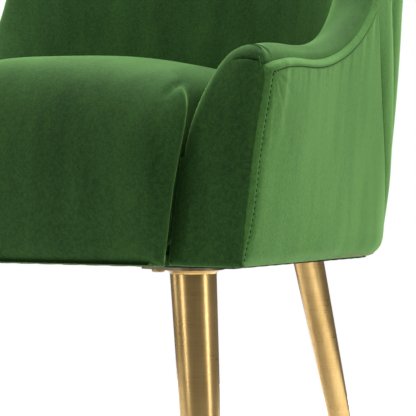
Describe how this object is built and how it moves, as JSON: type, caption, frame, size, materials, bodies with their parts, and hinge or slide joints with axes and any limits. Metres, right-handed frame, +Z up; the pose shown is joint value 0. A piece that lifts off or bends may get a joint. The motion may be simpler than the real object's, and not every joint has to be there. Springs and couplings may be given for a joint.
{
  "type": "dining chair",
  "caption": "Upholstered barrel-back dining chair: velvet shell whose wings swoop down into low arms, a tight crowned seat and splayed, tapered golden legs",
  "frame": {"origin": "on the floor, under the centre of the chair's bounding box", "axes": "+Z up; the chair faces -Y, with its back at +Y; +X is the sitter's left-hand side, the viewer's right when looking at the chair's front"},
  "size_m": [0.6284, 0.6596, 0.8601],
  "materials": {
    "velvet": "deep green cut-pile velvet with a soft sheen",
    "velvet_outside": "the same green velvet with its pile laid the other way",
    "gilt_steel": "brushed and lacquered golden plating on steel",
    "plated_plate": "rolled plate with a yellow zinc plating",
    "zinc_steel": "zinc plated",
    "timber": "planed hardwood, unfinished",
    "block_timber": "sawn hardwood, unfinished",
    "plywood": "bent thin plywood, unfinished",
    "fibreboard": "thin bent hardboard",
    "foam": "open-cell cushion foam",
    "wadding": "white polyester wadding",
    "felt": "grey needled felt",
    "webbing": "woven elastic webbing",
    "cambric": "black non-woven dust cloth",
    "staple_wire": "bright galvanised wire",
    "glide": "black moulded nylon"
  },
  "bodies": {
    "root": {"arm_foam_left": "foam", "arm_foam_right": "foam", "arm_front_facing_left": "velvet", "arm_front_facing_right": "velvet", "arm_front_padding_left": "wadding", "arm_front_padding_right": "wadding", "arm_front_post_left": "timber", "arm_front_post_right": "timber", "arm_inner_board_left": "plywood", "arm_inner_board_right": "plywood", "arm_outer_board_left": "fibreboard", "arm_outer_board_right": "fibreboard", "arm_outer_padding_left": "wadding", "arm_outer_padding_right": "wadding", "arm_rail_left": "timber", "arm_rail_right": "timber", "back_foam": "foam", "back_inner_board": "plywood", "back_outer_board": "fibreboard", "back_outer_padding": "wadding", "back_post_left": "timber", "back_post_right": "timber", "crosswise_webbing": "webbing", "dust_cover": "cambric", "dust_cover_staples": "staple_wire", "foot_glides": "glide", "front_corner_block_left": "block_timber", "front_corner_block_right": "block_timber", "front_leg_left": "gilt_steel", "front_leg_plate_left": "plated_plate", "front_leg_plate_right": "plated_plate", "front_leg_right": "gilt_steel", "front_seat_rail": "timber", "inside_cover": "velvet", "leg_bolts": "zinc_steel", "lengthwise_webbing": "webbing", "lower_back_rail": "timber", "outside_back": "velvet_outside", "outside_panel_left": "velvet_outside", "outside_panel_right": "velvet_outside", "rear_corner_block_left": "block_timber", "rear_corner_block_right": "block_timber", "rear_leg_left": "gilt_steel", "rear_leg_plate_left": "plated_plate", "rear_leg_plate_right": "plated_plate", "rear_leg_right": "gilt_steel", "rear_seat_rail": "timber", "seat_base_foam": "foam", "seat_cover": "velvet", "seat_crown_foam": "foam", "seat_felt": "felt", "seat_front_foam": "foam", "side_seat_rail_left": "timber", "side_seat_rail_right": "timber", "tee_nuts": "zinc_steel", "top_back_rail": "timber"}
  },
  "joints": []
}
